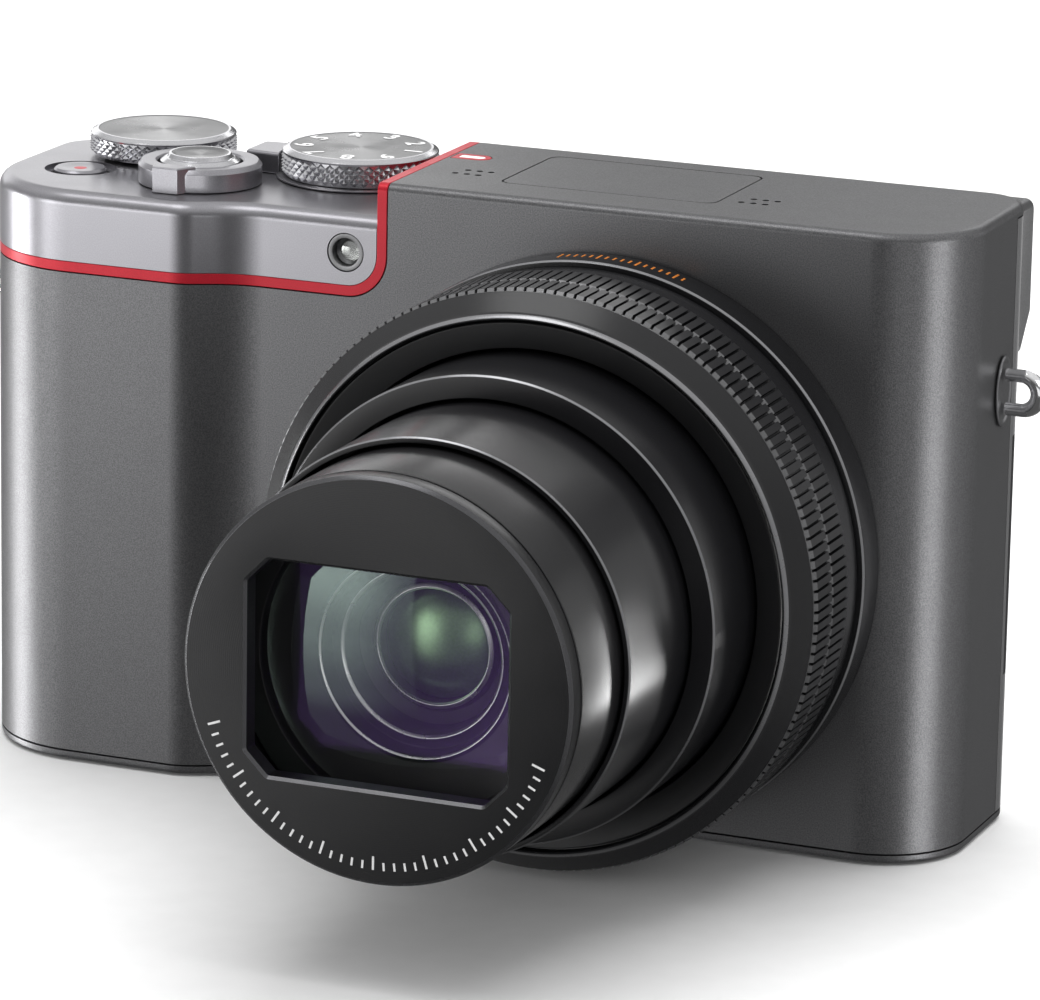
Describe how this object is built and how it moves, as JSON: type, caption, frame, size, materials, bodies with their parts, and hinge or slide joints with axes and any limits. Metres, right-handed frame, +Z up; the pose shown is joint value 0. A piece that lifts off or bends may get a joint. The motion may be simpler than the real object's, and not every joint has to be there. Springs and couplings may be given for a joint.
{
  "type": "compact digital camera",
  "caption": "Compact digital camera with a telescoping zoom lens in a knurled control ring, dials and buttons on a stepped top, pop-up flash, eyepiece and rear display.",
  "frame": {"origin": "under the middle of the camera box with the lens extended, on the plane the base stands on", "axes": "+Z up, lens looks along -Y, +X to the right for someone facing the lens"},
  "size_m": [0.1204, 0.087, 0.0661],
  "materials": {
    "dark_metal": "satin fine-grained metallic paint",
    "silver_metal": "fine bead-blasted, anodised silver",
    "spun_metal": "spun top faces and diamond-knurled rims",
    "red_trim": "anodised red, satin",
    "black_metal": "satin black",
    "lens_glass": "coated optical glass, clear",
    "flash_glass": "ribbed clear window",
    "display": "dark polished cover glass",
    "matte_black": "matt light-trap black",
    "rubber": "fine-textured soft black",
    "chrome": "polished",
    "satin_steel": "satin",
    "black_plastic": "fine matt",
    "circuit_board": "solder mask",
    "brass": "turned, satin"
  },
  "bodies": {
    "camera_body": {"front_cover": "dark_metal", "rear_cover": "dark_metal", "base_cover": "dark_metal", "top_cover": "silver_metal", "trim_band": "red_trim", "index_mark": "red_trim", "lens_base_ring": "black_metal", "lens_fixed_barrel": "black_metal", "focus_lamp": "lens_glass", "eyepiece_glass": "lens_glass", "display_glass": "display", "flash_capacitor": "matte_black", "eyepiece_frame": "rubber", "thumb_rest": "rubber", "strap_lug_left": "chrome", "strap_lug_right": "chrome", "strap_plate_left": "satin_steel", "strap_plate_right": "satin_steel", "chassis": "satin_steel", "base_screw_1": "satin_steel", "base_screw_2": "satin_steel", "display_module": "satin_steel", "zoom_motor": "satin_steel", "battery": "black_plastic", "memory_card": "black_plastic", "viewfinder_module": "black_plastic", "sensor_module": "black_plastic", "main_board": "circuit_board", "tripod_socket": "brass", "microphone_1": "brass", "microphone_2": "brass"},
    "control_ring": {"control_ring": "black_metal"},
    "rear_barrel": {"rear_barrel": "black_metal"},
    "middle_barrel": {"middle_barrel": "black_metal"},
    "front_barrel": {"front_barrel": "black_metal", "front_ring": "black_metal", "front_glass": "lens_glass", "lens_cell": "matte_black", "inner_glass": "lens_glass"},
    "zoom_gear": {"zoom_gear": "brass"},
    "rear_dial": {"rear_dial": "spun_metal"},
    "mode_dial": {"mode_dial": "spun_metal"},
    "power_lever": {"power_lever": "silver_metal"},
    "zoom_lever": {"zoom_lever": "silver_metal"},
    "shutter_button": {"shutter_button": "spun_metal"},
    "record_button": {"record_button": "silver_metal"},
    "flash_head": {"flash_head": "dark_metal", "flash_window": "flash_glass"},
    "playback_button": {"playback_button": "black_plastic"},
    "quick_menu_button": {"quick_menu_button": "black_plastic"},
    "display_button": {"display_button": "black_plastic"},
    "focus_lock_button": {"focus_lock_button": "black_plastic"},
    "control_pad": {"control_pad": "black_plastic"},
    "set_button": {"set_button": "black_plastic"},
    "flash_switch": {"flash_switch": "black_plastic"},
    "diopter_wheel": {"diopter_wheel": "black_plastic"},
    "port_door": {"port_door": "black_plastic"},
    "battery_door": {"battery_door": "dark_metal"},
    "battery_latch": {"battery_latch": "black_plastic"}
  },
  "joints": [
    {"name": "zoom_extension", "type": "slide", "parent": "camera_body", "child": "front_barrel", "axis": [0, -1, 0], "range_m": [-0.0365, 0]},
    {"name": "middle_barrel_slide", "type": "slide", "parent": "camera_body", "child": "middle_barrel", "axis": [0, -1, 0], "range_m": [-0.0251, 0]},
    {"name": "rear_barrel_slide", "type": "slide", "parent": "camera_body", "child": "rear_barrel", "axis": [0, -1, 0], "range_m": [-0.0101, 0]},
    {"name": "zoom_gear_turn", "type": "hinge", "parent": "camera_body", "child": "zoom_gear", "pos_m": [0.0445, 0.0251, 0.01], "axis": [0, 1, 0], "range_deg": [-420, 0]},
    {"name": "control_ring_turn", "type": "hinge", "parent": "camera_body", "child": "control_ring", "pos_m": [0.01765, 0.0023, 0.03086], "axis": [0, -1, 0], "continuous": true},
    {"name": "rear_dial_turn", "type": "hinge", "parent": "camera_body", "child": "rear_dial", "pos_m": [-0.0418, 0.0339, 0.064], "axis": [0, 0, 1], "continuous": true},
    {"name": "mode_dial_turn", "type": "hinge", "parent": "camera_body", "child": "mode_dial", "pos_m": [-0.018, 0.0328, 0.064], "axis": [0, 0, 1], "continuous": true},
    {"name": "power_switch", "type": "hinge", "parent": "camera_body", "child": "power_lever", "pos_m": [-0.018, 0.0328, 0.0627], "axis": [0, 0, 1], "range_deg": [-30, 0]},
    {"name": "zoom_rocker", "type": "hinge", "parent": "camera_body", "child": "zoom_lever", "pos_m": [-0.0321, 0.0226, 0.0634], "axis": [0, 0, 1], "range_deg": [-18, 18], "stiffness_Nm_per_rad": 0.02},
    {"name": "shutter_press", "type": "slide", "parent": "camera_body", "child": "shutter_button", "axis": [0, 0, -1], "range_m": [0, 0.0008], "stiffness_N_per_m": 600},
    {"name": "record_press", "type": "slide", "parent": "camera_body", "child": "record_button", "axis": [0, 0, -1], "range_m": [0, 0.0004], "stiffness_N_per_m": 600},
    {"name": "flash_open", "type": "hinge", "parent": "camera_body", "child": "flash_head", "pos_m": [0.01495, 0.0345, 0.0659], "axis": [-1, 0, 0], "range_deg": [0, 50]},
    {"name": "playback_press", "type": "slide", "parent": "camera_body", "child": "playback_button", "axis": [0, -1, 0], "range_m": [0, 0.0005], "stiffness_N_per_m": 500},
    {"name": "quick_menu_press", "type": "slide", "parent": "camera_body", "child": "quick_menu_button", "axis": [0, -1, 0], "range_m": [0, 0.0005], "stiffness_N_per_m": 500},
    {"name": "display_press", "type": "slide", "parent": "camera_body", "child": "display_button", "axis": [0, -1, 0], "range_m": [0, 0.0005], "stiffness_N_per_m": 500},
    {"name": "focus_lock_press", "type": "slide", "parent": "camera_body", "child": "focus_lock_button", "axis": [0, -1, 0], "range_m": [0, 0.0005], "stiffness_N_per_m": 500},
    {"name": "control_pad_press", "type": "slide", "parent": "camera_body", "child": "control_pad", "axis": [0, -1, 0], "range_m": [0, 0.0004], "stiffness_N_per_m": 500},
    {"name": "set_press", "type": "slide", "parent": "camera_body", "child": "set_button", "axis": [0, -1, 0], "range_m": [0, 0.0005], "stiffness_N_per_m": 500},
    {"name": "flash_switch_slide", "type": "slide", "parent": "camera_body", "child": "flash_switch", "axis": [1, 0, 0], "range_m": [0, 0.0025], "stiffness_N_per_m": 200},
    {"name": "diopter_turn", "type": "hinge", "parent": "camera_body", "child": "diopter_wheel", "pos_m": [0.0342, 0.0412, 0.0582], "axis": [0, 0, 1], "range_deg": [-120, 120]},
    {"name": "port_door_swing", "type": "hinge", "parent": "camera_body", "child": "port_door", "pos_m": [0.05385, 0.0384, 0.02875], "axis": [0, 0, 1], "range_deg": [0, 100]},
    {"name": "battery_door_swing", "type": "hinge", "parent": "camera_body", "child": "battery_door", "pos_m": [-0.0491, 0.0238, 0], "axis": [0, 1, 0], "range_deg": [0, 95]},
    {"name": "latch_slide", "type": "slide", "parent": "battery_door", "child": "battery_latch", "axis": [1, 0, 0], "range_m": [0, 0.003]}
  ],
  "couplings": [
    {"joint": "middle_barrel_slide", "follows": "zoom_extension", "ratio": 0.685},
    {"joint": "rear_barrel_slide", "follows": "zoom_extension", "ratio": 0.274},
    {"joint": "zoom_gear_turn", "follows": "zoom_extension", "rad_per_m": 200}
  ]
}
